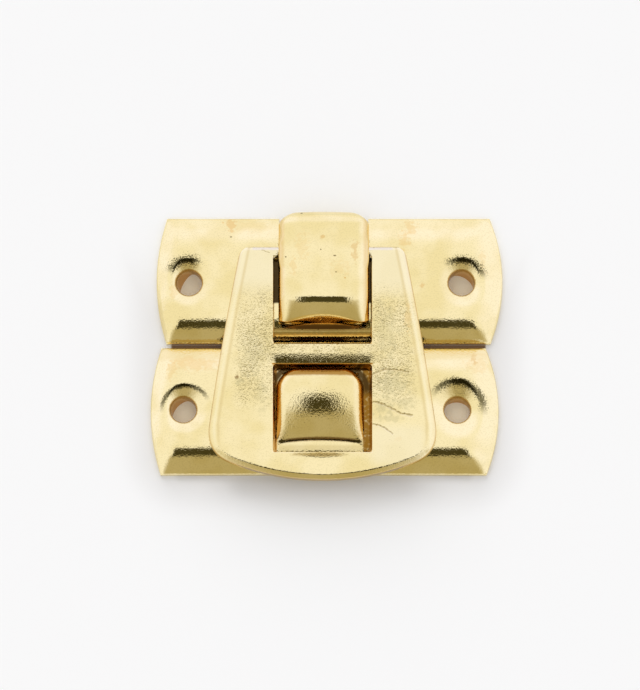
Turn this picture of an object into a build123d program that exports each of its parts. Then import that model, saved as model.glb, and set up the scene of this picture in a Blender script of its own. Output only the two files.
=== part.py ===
from build123d import *
from math import atan, cos, radians, sin, tan
import os

# Box hasp of three pressed pieces, closed. Millimetres.
# Origin midway between the upper plate's screw holes, on the face that lies on the box.
# +X runs along the plates, +Y up towards the lid, +Z out towards the hand.

# Sheet and running fits
plate_sheet = 0.9
hasp_sheet = 1.0
loop_clearance = 0.06
hasp_lift = 0.1
tip_clearance = 0.08

# Plates
plate_height = 1.5
plate_width = 11.85
plate_top_edge = 6.27
seam_gap = 0.4
left_end = 15.5
left_bulge = 0.95
right_end = 16.3
right_bulge = 1.15
rim_height = 0.4
bevel_run = 1.84
bend_radius = 3.1

# Screw holes and the dimples pressed round them
hole_spacing = 25.0
hole_dia = 2.4
dimple_radius = 3.15
dimple_depth = 1.4
dimple_rim_rise = 0.02
seat_radius = 2.1
seat_flare = 0.7

# Hasp
axis_y = 2.65
hasp_centre_x = -0.25
hasp_top_half = 7.6
hasp_corner_half = 10.62
hasp_side_swell = 0.16
hasp_bottom_below_axis = 21.3
hasp_bottom_curve = 22.2
hasp_corner = 2.2
edge_bevel_run = 0.6
edge_bevel_drop = 0.4
window_width = 9.0
window_corner = 0.3
upper_window_end = 8.7
mid_bar = 1.88
lower_window_height = 8.2

# Tongue of the upper plate, folded over the hasp's bar
tongue_centre_x = -0.13
tongue_side_gap = 0.35
tongue_crown = 22.0
tongue_shoulder = 0.42
fold_overhang = 0.19
neck_corner = 1.45
nose_corner = 0.6
nose_start_below_axis = 4.2
nose_curve = 2.7
nose_turn = 45.0
tip_curve = 5.1
tip_turn = 20.0
tip_spare = 0.3

# Cradle ribs that hold the bar under the tongue
cradle_width = 6.4
cradle_wall = 0.5
cradle_round = 0.3
cradle_below_axis = 0.12

# Keeper raised on the lower plate
lower_shift_x = -0.45
keeper_shift_x = -0.03
keeper_side_gap = 0.525
keeper_length = 6.95
keeper_top_z = 3.1
keeper_gap_above = 0.3
keeper_apex_below_wall = 2.3
keeper_curve = 6.5
keeper_shoulder = 1.2
keeper_crown = 16.0
keeper_side_shoulder = 1.3
keeper_top_corner = 1.4
keeper_foot_corner = 0.75
keeper_least_round = 0.2

# Places worked out from the sizes above
bevel_slope = (plate_height - rim_height) / bevel_run
bend_reach = bend_radius * tan(atan(bevel_slope) / 2)
ceiling_z = plate_height - plate_sheet
bar_radius = hasp_sheet / 2
hasp_back_z = plate_height + hasp_lift
axis_z = hasp_back_z + bar_radius
loop_radius = bar_radius + loop_clearance
tongue_top_z = axis_z + loop_radius + plate_sheet
tongue_width = window_width - 2 * tongue_side_gap
keeper_width = window_width - 2 * keeper_side_gap
lower_top_edge = plate_top_edge - plate_width - seam_gap
lower_hole_y = lower_top_edge - plate_width / 2
mid_bar_top_y = axis_y - upper_window_end
lower_window_top_y = mid_bar_top_y - mid_bar
hasp_bottom_y = axis_y - hasp_bottom_below_axis
keeper_centre_x = lower_shift_x + keeper_shift_x
keeper_wall_y = lower_window_top_y - keeper_gap_above
fold_radius = (tongue_top_z - ceiling_z) / 2
fold_y = plate_top_edge + fold_overhang - fold_radius
nose_y = axis_y - nose_start_below_axis
nose_end_y = nose_y - nose_curve * sin(radians(nose_turn))
tip_rise = sin(radians(nose_turn + tip_turn)) - sin(radians(nose_turn))
tongue_tip_y = nose_end_y - tip_curve * tip_rise
tongue_root_y = plate_top_edge - bevel_run - bend_reach
far = 2 * (left_end + right_end)


def box_between(low, high):
    """Box from its lowest and highest corners."""
    size = [h - l for l, h in zip(low, high)]
    middle = [(h + l) / 2 for l, h in zip(low, high)]
    return Pos(*middle) * Box(*size)


def plate_plan(top_edge, centre_x, inset=0.0):
    """Plan of a plate, with straight long edges and bulged ends, drawn in by an inset."""
    low = top_edge - plate_width
    middle = top_edge - plate_width / 2
    left = centre_x - left_end
    right = centre_x + right_end
    outline = [
        Line((left + left_bulge, top_edge), (right - right_bulge, top_edge)),
        ThreePointArc((right - right_bulge, top_edge), (right, middle), (right - right_bulge, low)),
        Line((right - right_bulge, low), (left + left_bulge, low)),
        ThreePointArc((left + left_bulge, low), (left, middle), (left + left_bulge, top_edge)),
    ]
    plan = make_face(Curve() + outline)
    if inset > 0:
        plan = offset(plan, amount=-inset, kind=Kind.INTERSECTION)
    return plan


def frustum(top_edge, centre_x, low_inset, high_inset, low_z, high_z):
    """Straight-sided solid between two plans of a plate at two heights."""
    low = Pos(0, 0, low_z) * plate_plan(top_edge, centre_x, low_inset)
    high = Pos(0, 0, high_z) * plate_plan(top_edge, centre_x, high_inset)
    return loft([low.face(), high.face()], ruled=True)


def plate_section():
    """Section across a plate: low upright rims, bevels with soft bends and a flat top."""
    half = plate_width / 2
    outline = Polyline(
        (-half, 0),
        (-half, rim_height),
        (-half + bevel_run, plate_height),
        (half - bevel_run, plate_height),
        (half, rim_height),
        (half, 0),
        close=True,
    )
    section = make_face(outline)
    return fillet(section.vertices().group_by(Axis.Y)[-1], bend_radius)


def end_cut(reach, bulge):
    """What is trimmed off the +X end of a straight plate to bulge and bevel it."""
    half = plate_width / 2
    round_radius = (half**2 + bulge**2) / (2 * bulge)
    shoulder = bevel_run + bend_reach
    block = Pos(half - shoulder + far / 2, plate_height / 2) * Rectangle(far, 3 * plate_height)
    outside = Pos(round_radius - half, 0) * (block - plate_section())
    start = Rot(0, 0, -90) * (Plane.XZ * outside)
    return Pos(reach - round_radius, 0, 0) * revolve(start, Axis.Z, 180)


def plate_outside(top_edge, centre_x):
    """Outer form of a plate, bevelled all round, with bulged ends."""
    form = extrude(Plane.YZ * plate_section(), far, both=True)
    form = form - end_cut(right_end, right_bulge)
    form = form - Rot(0, 0, 180) * end_cut(left_end, left_bulge)
    return Pos(centre_x, top_edge - plate_width / 2, 0) * form


def plate_hollow(top_edge, centre_x):
    """Hollow back of a plate, one sheet inside its outer form."""
    upright_sheet = plate_sheet / cos(atan(bevel_slope))
    foot = (upright_sheet - rim_height) / bevel_slope
    return frustum(top_edge, centre_x, foot, foot + ceiling_z / bevel_slope, 0.0, ceiling_z)


def dimple_cut():
    """Bell-shaped hollow pressed round a screw hole, with the bore of the hole."""
    high_z = plate_height + plate_sheet
    rim_z = plate_height + dimple_rim_rise
    bell = Bezier((0, rim_z - dimple_depth), (dimple_radius / 2, rim_z), (dimple_radius, rim_z))
    sides = Polyline(bell @ 1, (dimple_radius, high_z), (0, high_z), bell @ 0)
    bore = Pos(hole_dia / 4, high_z / 2) * Rectangle(hole_dia / 2, high_z)
    section = Plane.XZ * (make_face(bell + sides) + bore)
    return revolve(section, Axis.Z)


def pressed_plate(top_edge, centre_x, hole_y):
    """Hollow-backed plate with two dimpled screw holes, seated on the box round each screw."""
    outside = plate_outside(top_edge, centre_x)
    plate = outside - plate_hollow(top_edge, centre_x)
    seat = Pos(0, 0, ceiling_z / 2) * Cone(seat_radius, seat_radius + seat_flare, ceiling_z)
    for side in (-1, 1):
        place = Pos(centre_x + side * hole_spacing / 2, hole_y, 0)
        plate = plate + ((place * seat) & outside) - place * dimple_cut()
    return plate


def arch_section(width, top_z, crown, shoulder, low_z):
    """Upright-sided section with round shoulders under a shallow crown."""
    sides = Pos(0, (low_z + top_z) / 2) * Rectangle(width, top_z - low_z)
    arch = sides & Pos(0, top_z - crown) * Circle(crown)
    return fillet(arch.vertices().group_by(Axis.Y)[-1], shoulder)


def tongue_plan():
    """Plan of the tongue: waisted round its neck at the fold, lightly rounded at its nose."""
    high_y = plate_top_edge + fold_overhang
    length = high_y - tongue_tip_y
    plan = Pos(tongue_centre_x, high_y - length / 2) * Rectangle(tongue_width, length)
    plan = fillet(plan.vertices().group_by(Axis.Y)[-1], neck_corner)
    return fillet(plan.vertices().group_by(Axis.Y)[0], nose_corner)


def tongue_strip():
    """Sheet of the tongue seen from its side: root, fold, flat top and drooping nose."""
    half = plate_sheet / 2
    low_z = plate_height - half
    high_z = tongue_top_z - half
    root = Line((tongue_root_y - plate_sheet, low_z), (fold_y, low_z))
    fold = ThreePointArc(
        (fold_y, low_z), (fold_y + fold_radius - half, (low_z + high_z) / 2), (fold_y, high_z)
    )
    flat = Line((fold_y, high_z), (nose_y, high_z))
    nose = JernArc(flat @ 1, flat % 1, nose_curve - half, nose_turn)
    tip = JernArc(nose @ 1, nose % 1, tip_curve - half, tip_turn)
    end = Line(tip @ 1, tip @ 1 + (tip % 1) * tip_spare)
    side_view = trace([root, fold, flat, nose, tip, end], plate_sheet)
    return Pos(tongue_centre_x, 0, 0) * extrude(
        Plane.YZ * side_view, tongue_width / 2, both=True
    )


def tongue():
    """Tongue with its crown, rounded sides and neck, stopping just short of the plate."""
    crown = arch_section(tongue_width, tongue_top_z, tongue_crown, tongue_shoulder, 0.0)
    crown_bar = Pos(tongue_centre_x, 0, 0) * extrude(Plane.XZ * crown, far, both=True)
    form = tongue_strip() & crown_bar & extrude(tongue_plan(), 2 * tongue_top_z)
    raised = Pos(0, 0, tip_clearance) * plate_outside(plate_top_edge, 0.0)
    beyond = box_between((-far, -far, -far), (far, nose_y, plate_height + tip_clearance))
    form = form - (raised & beyond)
    return form.solids().sort_by(SortBy.VOLUME)[-1]


def cradle():
    """Two pressed ribs, one block with a round trough in which the hasp's bar turns."""
    high_z = axis_z - cradle_below_axis
    half_depth = loop_radius + cradle_wall
    block = box_between(
        (tongue_centre_x - cradle_width / 2, axis_y - half_depth, ceiling_z),
        (tongue_centre_x + cradle_width / 2, axis_y + half_depth, high_z),
    )
    ridges = block.edges().filter_by(Axis.X).group_by(Axis.Z)[-1]
    block = fillet(ridges, cradle_round)
    trough = Pos(tongue_centre_x, axis_y, axis_z) * Rot(0, 90, 0) * Cylinder(loop_radius, far)
    return block - trough


def upper_plate():
    """Lid plate with the tongue that folds over the hasp's bar."""
    plate = pressed_plate(plate_top_edge, 0.0, 0.0)
    neck = extrude(tongue_plan(), plate_height)
    beyond = box_between((-far, tongue_root_y, 0), (far, far, plate_height))
    return plate - (neck & beyond) + tongue() + cradle()


def inner_round(outer, inset):
    """Radius of a rounding seen from an inset, never quite sharp."""
    return max(outer - inset, keeper_least_round)


def keeper_form(inset, low_z):
    """Hump of the keeper, drawn in by an inset on its sides and top."""
    length = keeper_length - 2 * inset
    wall_y = keeper_wall_y - inset
    width = keeper_width - 2 * inset
    top_z = keeper_top_z - inset
    curve = keeper_curve - inset
    side = Pos(wall_y - length / 2, (low_z + top_z) / 2) * Rectangle(length, top_z - low_z)
    apex_y = keeper_wall_y - keeper_apex_below_wall
    side = side & Pos(apex_y, top_z - curve) * Circle(curve)
    corner = side.vertices().group_by(Axis.X)[-1].sort_by(Axis.Y)[-1]
    side = fillet(corner, inner_round(keeper_shoulder, inset))
    shoulder = inner_round(keeper_side_shoulder, inset)
    front = arch_section(width, top_z, keeper_crown - inset, shoulder, low_z)
    plan = Pos(keeper_centre_x, wall_y - length / 2) * Rectangle(width, length)
    top_corners = plan.vertices().group_by(Axis.Y)[-1]
    plan = fillet(top_corners, inner_round(keeper_top_corner, inset))
    foot_corners = plan.vertices().group_by(Axis.Y)[0]
    plan = fillet(foot_corners, inner_round(keeper_foot_corner, inset))
    along = Pos(keeper_centre_x, 0, 0) * extrude(Plane.YZ * side, width, both=True)
    across = Pos(keeper_centre_x, 0, 0) * extrude(Plane.XZ * front, far, both=True)
    return along & across & Pos(0, 0, low_z) * extrude(plan, 2 * keeper_top_z)


def lower_plate():
    """Box plate with the hollow keeper that the hasp's lower window drops over."""
    plate = pressed_plate(lower_top_edge, lower_shift_x, lower_hole_y)
    return plate + keeper_form(0.0, ceiling_z) - keeper_form(plate_sheet, 0.0)


def hasp_plan():
    """Plan of the hasp below its bar: swelling sides and a curved foot."""
    corner_rise = hasp_bottom_curve - (hasp_bottom_curve**2 - hasp_corner_half**2) ** 0.5
    corner_y = hasp_bottom_y + corner_rise
    side_mid = ((hasp_top_half + hasp_corner_half) / 2 + hasp_side_swell, (axis_y + corner_y) / 2)
    outline = [Line((-hasp_top_half, axis_y), (hasp_top_half, axis_y))]
    for side in (-1, 1):
        top = (side * hasp_top_half, axis_y)
        low = (side * hasp_corner_half, corner_y)
        outline.append(ThreePointArc(top, (side * side_mid[0], side_mid[1]), low))
    outline.append(
        ThreePointArc(
            (-hasp_corner_half, corner_y), (0, hasp_bottom_y), (hasp_corner_half, corner_y)
        )
    )
    plan = make_face(Curve() + outline)
    return Pos(hasp_centre_x, 0) * fillet(plan.vertices().group_by(Axis.Y)[0], hasp_corner)


def window(top_y, bottom_y):
    """Cutting block of one window through the hasp."""
    plan = Pos(hasp_centre_x, (top_y + bottom_y) / 2) * Rectangle(window_width, top_y - bottom_y)
    plan = fillet(plan.vertices(), window_corner)
    return Pos(0, 0, plate_height) * extrude(plan, 2 * hasp_sheet)


def hasp():
    """Swinging hasp: coined edge, two windows and the round bar that it turns on."""
    form = Pos(0, 0, hasp_back_z) * extrude(hasp_plan(), hasp_sheet)
    top = form.faces().filter_by(Axis.Z).sort_by(Axis.Z)[-1]
    coined = top.edges().filter_by(lambda edge: edge.center().Y < axis_y - bar_radius)
    form = chamfer(coined, edge_bevel_run, edge_bevel_drop, reference=top)
    form = form - window(axis_y + bar_radius, mid_bar_top_y)
    form = form - window(lower_window_top_y, lower_window_top_y - lower_window_height)
    bar = Rot(0, 90, 0) * Cylinder(bar_radius, 2 * hasp_top_half)
    for end in bar.faces().filter_by(GeomType.PLANE):
        bar = chamfer(end.edges(), edge_bevel_drop, edge_bevel_run, reference=end)
    return form + Pos(hasp_centre_x, axis_y, axis_z) * bar


os.makedirs("parts", exist_ok=True)
export_step(upper_plate(), "parts/upper_plate.step")
export_step(lower_plate(), "parts/lower_plate.step")
export_step(hasp(), "parts/hasp.step")
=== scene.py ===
from math import atan2, copysign, cos, hypot, pi, radians, sin, sqrt, tan

import bpy
import numpy as np
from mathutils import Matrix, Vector, noise


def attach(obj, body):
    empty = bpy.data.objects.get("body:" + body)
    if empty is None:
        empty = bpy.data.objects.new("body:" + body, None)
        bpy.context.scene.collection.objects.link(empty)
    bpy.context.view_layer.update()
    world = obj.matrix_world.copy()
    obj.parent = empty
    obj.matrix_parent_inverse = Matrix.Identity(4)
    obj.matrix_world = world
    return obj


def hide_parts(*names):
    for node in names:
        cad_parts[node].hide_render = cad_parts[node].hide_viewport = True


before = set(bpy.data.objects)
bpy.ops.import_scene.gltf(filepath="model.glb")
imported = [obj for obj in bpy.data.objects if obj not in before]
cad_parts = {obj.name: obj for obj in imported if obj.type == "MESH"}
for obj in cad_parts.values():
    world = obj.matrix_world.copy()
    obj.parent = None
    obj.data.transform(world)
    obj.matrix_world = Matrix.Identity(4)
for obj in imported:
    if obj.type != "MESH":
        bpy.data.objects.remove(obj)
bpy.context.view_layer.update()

# Box hasp of pressed brass, closed. Sizes are in millimetres and angles in degrees.
MM = 0.001
WELD = 0.002
SMOOTH_BELOW = 38
TO_DEGREES = 180 / pi

# Plates. Their plan coordinates u and v start from the middle of each plate.
PLATE_TOP = 1.5
RIM = 0.4
HALF_WIDTH = 5.925
BEVEL_RUN = 1.84
BEND = 3.6
SHEET = 0.9
CORNER_BLEND = 0.5
# the bulged ends by side: reach, bulge and steepness of the bevel
ENDS = {-1: (15.5, 0.95, 1.28), 1: (16.3, 1.15, 0.9)}
CUT_X = 8.9
HOLE_X = 12.5
HOLE_R = 1.2
UPPER_Y = 6.27 - HALF_WIDTH
LOWER_X = -0.45
LOWER_Y = -5.98 - HALF_WIDTH
# bells round the left and right hole: shift from the hole, reach, slope and soft bend
UPPER_BELLS = ((-0.1, 0.05, 2.1, 0.42, 0.16), (0.12, 0.0, 2.2, 0.40, 0.16))
LOWER_BELLS = ((0.1, 0.05, 2.22, 0.40, 0.09), (0.2, 0.05, 2.65, 0.38, 0.17))
# lean of the left and right hole's wall: direction and amount
UPPER_LEANS = ((150, 0.6), (55, 0.38))
LOWER_LEANS = ((138, 0.42), (85, 0.25))
# hollow back: solid rim, solid ring round a screw and low part of the roof
SOLID_RIM = 0.85
SOLID_RING, RING_FADE = 2.1, 0.7
LOW_ROOF = 0.6
# first rows of points in from a hole and from an edge
HOLE_STEPS = (0.0, 0.012, 0.035, 0.09)
EDGE_STEPS = (0.0, 0.02, 0.06, 0.13)
EDGE_BAND = 0.3

# Hasp
BAR_Y, BAR_Z, BAR_R = 2.65, 2.1, 0.5
BAR_FROM = 1.0
HAIR = 0.02  # keeps the bar's front and back from welding along their edge
HASP_X = -0.25
HASP_BACK, HASP_TOP = 1.6, 2.6
BAR_HALF, FOOT_HALF, SIDE_SWELL = 7.6, 10.62, 0.16
SIDE_LEAN = 0.99
FOOT_Y = -18.65
FOOT_CURVE = 22.2
WINDOW_HALF = 4.5
UPPER_WINDOW = (-6.05, 2.15)
LOWER_WINDOW = (-16.13, -7.93)
MID_BAR_Y = (UPPER_WINDOW[0] + LOWER_WINDOW[1]) / 2
SOFT_EDGE = 0.10
# coined bevels: how deep and how wide
SIDE_BEVEL, SIDE_BEVEL_WIDTH = 0.24, 0.85
FOOT_BEVEL, FOOT_BEVEL_WIDTH = 0.22, 0.42
MID_BAR_SINK = 0.185
LIP_RISE = 0.06

# Tongue
TONGUE_X, TONGUE_HALF = -0.13, 4.15
TONGUE_TOP = 3.56
TONGUE_START = 2.6
FOLD_BACK, FOLD_R = 6.46, 1.48
FOLD_Y = FOLD_BACK - FOLD_R
NECK_R = 0.9
SHOULDER = 1.15
NOSE_Y, NOSE_R, NOSE_TURN = -1.55, 2.5, 52
TIP_Y = -4.48
FACE_ROW = 60
NOTCH_HALF, NOTCH_Y = 4.1, 3.45

# Keeper
KEEPER_X = LOWER_X - 0.03
KEEPER_HALF = 3.975
KEEPER_WALL_Y, KEEPER_FOOT_Y = -8.23, -15.18
KEEPER_TOP, KEEPER_CORNER, KEEPER_SHOULDER = 3.1, 1.9, 0.9
KEEPER_FIELD = (-5.3, 5.2, -4.45, 4.75)
KEEPER_COLUMNS = 60

# Photograph and camera, with pixels to a millimetre across, down and of height
PICTURE_HEIGHT = 690
MIDDLE_PX = (325.2, 285.6)
ACROSS_PX, DOWN_PX, LIFT_PX = 10.93, 10.617, 2.4525
PIXELS_PER_MM = 10.9
CAMERA_LEAN = 13
CAMERA_DISTANCE = 450.0
SENSOR = 36.0

# Colours
PALE_BRASS, WARM_BRASS = (0.965, 0.825, 0.475), (0.90, 0.75, 0.375)
# the crease tint also draws painted dark reflection lines along the hasp's top edge
FRECKLE, SPECK, CREASE_AND_EDGE_REFLECTION = (0.52, 0.42, 0.18), (0.30, 0.18, 0.05), (0.35, 0.24, 0.07)
WARM, RUST, DARK = (0.86, 0.60, 0.24), (0.72, 0.42, 0.12), (0.16, 0.10, 0.03)
# the gold tint is a painted reflection of the window walls; the brown one is painted shade in the
# gap above the keeper
OLIVE, REFLECTED_GOLD, KEEPER_GAP_SHADE = (0.60, 0.53, 0.28), (0.78, 0.54, 0.21), (0.14, 0.062, 0.014)
# painted shade beside the tongue, painted dark reflections round the screw dimples, painted shade
# in the keeper's top corners
TONGUE_GAP_SHADE, DIMPLE_DARK_REFLECTION, KEEPER_CORNER_SHADE = (0.045, 0.024, 0.006), (0.075, 0.060, 0.017), (0.075, 0.040, 0.010)
COOL_LIGHT, DIM_LIGHT, CARD = (1.07, 1.09, 1.28), (0.49, 0.427, 0.25), (0.062, 0.053, 0.020)
PAPER, SHADED_PAPER = (0.935, 0.935, 0.935), (0.83, 0.82, 0.815)


def only(piece):
    """Deselects everything, then chooses the piece, if any."""
    bpy.ops.object.select_all(action="DESELECT")
    if piece:
        piece.select_set(True)
        bpy.context.view_layer.objects.active = piece


def sheet(name, points):
    """A primitive grid laid along rows of points, rows x columns x 3."""
    rows, columns = points.shape[:2]
    only(None)
    bpy.ops.mesh.primitive_grid_add(x_subdivisions=columns - 1, y_subdivisions=rows - 1, size=MM)
    piece = bpy.context.object
    piece.name = name
    piece.data.name = name
    piece.data.vertices.foreach_set("co", (np.asarray(points, float) * MM).reshape(-1))
    return piece


def edit_all(piece):
    """Opens a piece for editing with everything in it chosen."""
    only(piece)
    bpy.ops.object.mode_set(mode="EDIT")
    bpy.ops.mesh.select_all(action="SELECT")


def end_edit():
    """Faces the open piece outward all over and closes it."""
    bpy.ops.mesh.select_all(action="SELECT")
    bpy.ops.mesh.normals_make_consistent(inside=False)
    bpy.ops.object.mode_set(mode="OBJECT")


def joined(name, parts):
    """Makes one piece of sheets and welds the edges that meet."""
    only(parts[0])
    for part in parts:
        part.select_set(True)
    bpy.ops.object.join()
    piece = bpy.context.object
    piece.name = name
    piece.data.name = name
    edit_all(piece)
    bpy.ops.mesh.remove_doubles(threshold=WELD * MM)
    end_edit()
    return piece


def coords(piece):
    co = np.empty(len(piece.data.vertices) * 3)
    piece.data.vertices.foreach_get("co", co)
    return co.reshape(-1, 3) / MM


def set_coords(piece, co):
    piece.data.vertices.foreach_set("co", (co * MM).reshape(-1))
    piece.data.update()


def chosen(piece):
    mask = np.empty(len(piece.data.vertices), bool)
    piece.data.vertices.foreach_get("select", mask)
    return mask


def thickened(piece, back_of):
    """Extrudes a skin down and puts its new back where a function of the face says."""
    edit_all(piece)
    bpy.ops.mesh.extrude_region_move(TRANSFORM_OT_translate={"value": (0, 0, -SHEET * MM)})
    bpy.ops.object.mode_set(mode="OBJECT")
    co = coords(piece)
    new = chosen(piece)
    top = co[new].copy()
    top[:, 2] += SHEET
    co[new] = back_of(top)
    set_coords(piece, co)
    edit_all(piece)
    bpy.ops.mesh.remove_doubles(threshold=WELD * MM)
    bpy.ops.mesh.dissolve_degenerate(threshold=WELD / 2 * MM)
    end_edit()


def moved(piece, dx, dy):
    co = coords(piece)
    co[:, 0] += dx
    co[:, 1] += dy
    set_coords(piece, co)


def smoothed(piece):
    only(piece)
    bpy.ops.object.shade_smooth_by_angle(angle=radians(SMOOTH_BELOW))


def mark(piece, name, values):
    """Stores a number at each point, which a material can read."""
    layer = piece.data.attributes.new(name, "FLOAT", "POINT")
    layer.data.foreach_set("value", np.asarray(values, float))


def unit(value):
    """The value, held between 0 and 1."""
    return np.clip(value, 0, 1)


def soft_min(a, b, k):
    h = np.clip(0.5 + 0.5 * (b - a) / k, 0, 1)
    return b * (1 - h) + a * h - k * h * (1 - h)


def soft_max(a, b, k):
    return -soft_min(-a, -b, k)


def rolled(distance, radius):
    """How far a rounded edge lies below its surface at a distance from the rim."""
    d = np.clip(distance, 0, radius)
    return radius - np.sqrt(np.maximum(radius**2 - (radius - d) ** 2, 0))


def ripple(x, y, size, seed):
    """Smooth dents of the pressed sheet, from -1 to 1."""
    return np.array(
        [noise.noise(Vector((a / size, b / size, seed))) for a, b in zip(x.ravel(), y.ravel())]
    ).reshape(x.shape)


def dents(x, y, sink, *waves):
    """Dents of the sheet, sunk so that none stands proud. A wave is depth, size and seed."""
    return sum(depth * ripple(x, y, size, seed) for depth, size, seed in waves) - sink


def bend_height(d):
    """Height of a plate's face at a distance inside its edge: bevel, soft bend, flat."""
    slope = (PLATE_TOP - RIM) / BEVEL_RUN
    angle = atan2(PLATE_TOP - RIM, BEVEL_RUN)
    reach = BEND * tan(angle / 2)
    flat = BEVEL_RUN + reach
    bevel = BEVEL_RUN - reach * cos(angle)
    arc = PLATE_TOP - BEND + np.sqrt(np.maximum(BEND**2 - (flat - np.clip(d, bevel, flat)) ** 2, 0))
    return np.where(d < bevel, RIM + slope * d, np.where(d > flat, PLATE_TOP, arc))


def end_circle(side):
    """Radius and middle of the circle that a bulged end follows."""
    reach, bulge, _ = ENDS[side]
    radius = (HALF_WIDTH**2 + bulge**2) / (2 * bulge)
    return radius, side * (reach - radius)


def end_distance(u, v):
    """Distance inside the nearer bulged end, stretched where its bevel is steeper."""
    out = np.empty_like(u)
    for side, (_, _, steep) in ENDS.items():
        radius, middle = end_circle(side)
        here = u * side >= 0
        out[here] = (radius - np.hypot(u - middle, v))[here] * steep
    return out


def end_x(side, v):
    radius, middle = end_circle(side)
    return middle + side * np.sqrt(radius**2 - v**2)


def plate_inset(u, v):
    """Distance inside a plate's outline, with its corners rounded."""
    return soft_min(HALF_WIDTH - np.abs(v), end_distance(u, v), CORNER_BLEND)


def plate_face(u, v, hole_v, bells, seed, keeper):
    """Height of a plate's face: bevel and flat, a bell round each hole, soft edges and dents."""
    inside = np.maximum(plate_inset(u, v), 0)
    front = unit(-v / 3.0)
    bevel_inset = inside + (0.15 if keeper else 0.36) * front * unit(inside / 0.45)
    if keeper:
        by_keeper = unit(5.4 - np.abs(u)) * front
        bevel_inset = bevel_inset + 0.35 * by_keeper * unit(inside)
    z = bend_height(bevel_inset)
    for side, (du, dv, reach, slope, bend) in zip((-1, 1), bells):
        r = np.hypot(u - side * HOLE_X - du, v - hole_v - dv)
        bell = PLATE_TOP - slope * (reach - r)
        ridge = bend + 0.1 * unit((PLATE_TOP - z) / 0.12)
        z = soft_min(z, bell, ridge)
        hole_inset = np.hypot(u - side * HOLE_X, v - hole_v) - HOLE_R
        z = z - rolled(hole_inset, 0.05)
    z = z - rolled(inside, 0.12) * 0.8
    calm = unit(inside / 1.5)
    return z + calm * dents(u, v, 0.012, (0.010, 3.4, seed), (0.0035, 1.1, seed + 5))


def across_stations():
    """Lines from a plate's front edge to its rear edge, close together near both."""
    near = np.array(EDGE_STEPS)
    inner = np.linspace(-HALF_WIDTH + EDGE_BAND, HALF_WIDTH - EDGE_BAND, 58)
    return np.concatenate([-HALF_WIDTH + near, inner, (HALF_WIDTH - near)[::-1]])


def end_patch(side, hole_v):
    """Plan of the end of a plate: rings from the screw hole out to the plate's edge."""
    across = across_stations()
    cut = side * CUT_X
    corner = end_x(side, HALF_WIDTH)
    along = np.linspace(cut, corner - side * EDGE_BAND, 26)[1:]
    along = np.concatenate([along, (corner - side * np.array(EDGE_STEPS[1:]))[::-1]])
    loop = [(cut, v) for v in across]
    loop += [(u, HALF_WIDTH) for u in along]
    loop += [(end_x(side, v), v) for v in across[::-1]]
    loop += [(u, -HALF_WIDTH) for u in along[::-1]]
    loop.append(loop[0])
    centre = np.array([side * HOLE_X, hole_v])
    ray = np.array(loop) - centre
    length = np.hypot(*ray.T)
    ray = ray / length[:, None]
    span = length - HOLE_R - HOLE_STEPS[-1] - EDGE_STEPS[-1]
    rows = [centre + ray * (HOLE_R + s) for s in HOLE_STEPS]
    for t in np.linspace(0, 1, 34)[1:-1]:
        rows.append(centre + ray * (HOLE_R + HOLE_STEPS[-1] + span * t)[:, None])
    rows += [centre + ray * (length - s)[:, None] for s in EDGE_STEPS[::-1]]
    return np.array(rows)


def grid(along, across):
    return np.dstack(np.meshgrid(along, across))


def loop_round(xs, ys):
    """Closed loop round a grid of lines, from the corner of low x and high y."""
    loop = [(x, ys[-1]) for x in xs[:-1]]
    loop += [(xs[-1], y) for y in ys[:0:-1]]
    loop += [(x, ys[0]) for x in xs[:0:-1]]
    loop += [(xs[0], y) for y in ys[:-1]]
    return np.array(loop + loop[:1], float)


def middle_plans(keeper):
    """Plans of the middle of a plate; round the keeper they close in on its walls."""
    across = across_stations()
    if not keeper:
        return [grid(np.linspace(-CUT_X, CUT_X, 90), across)]
    left, right, low_v, high_v = KEEPER_FIELD
    low, high = np.searchsorted(across, (low_v, high_v))
    columns = np.linspace(left, right, KEEPER_COLUMNS + 1)
    return [
        grid(np.linspace(-CUT_X, left, 16), across),
        grid(np.linspace(right, CUT_X, 16), across),
        grid(columns, across[: low + 1]),
        grid(columns, across[high:]),
        *keeper_plans(loop_round(columns, across[low : high + 1])[::-1]),
    ]


def keeper_plans(box):
    """Rings from a box to the keeper's foot and over its shoulder, and the field they leave."""
    top_v, low_v = KEEPER_WALL_Y - LOWER_Y, KEEPER_FOOT_Y - LOWER_Y
    half_v = (top_v - low_v) / 2
    centre = np.array([KEEPER_X - LOWER_X, (top_v + low_v) / 2])
    direction = box - centre
    foot = rounded_box(direction, KEEPER_HALF, half_v, KEEPER_CORNER, 0.9) + centre
    rings = [box + (foot - box) * t for t in (0.0, 0.25, 0.5, 0.72, 0.86, 0.94)]
    for inset in (0.0, 0.015, 0.04, 0.08, 0.14, 0.22, 0.32, 0.45, 0.6, 0.8, 1.0, 1.25):
        corner = max(KEEPER_CORNER - inset, 0.5)
        ring = rounded_box(direction, KEEPER_HALF - inset, half_v - inset, corner, 0.4)
        rings.append(ring + centre)
    last = rings[-1]
    across = KEEPER_COLUMNS
    down = (len(box) - 1 - 2 * across) // 2
    side_left = last[: down + 1][::-1]
    bottom = last[down : down + across + 1]
    side_right = last[down + across : 2 * down + across + 1]
    top = last[2 * down + across :][::-1]
    s = np.linspace(0, 1, across + 1)[None, :, None]
    t = np.linspace(0, 1, down + 1)[:, None, None]
    field = (
        (1 - t) * bottom[None]
        + t * top[None]
        + (1 - s) * side_left[:, None]
        + s * side_right[:, None]
        - (1 - s) * (1 - t) * bottom[0]
        - s * (1 - t) * bottom[-1]
        - (1 - s) * t * top[0]
        - s * t * top[-1]
    )
    return np.array(rings), field


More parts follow.
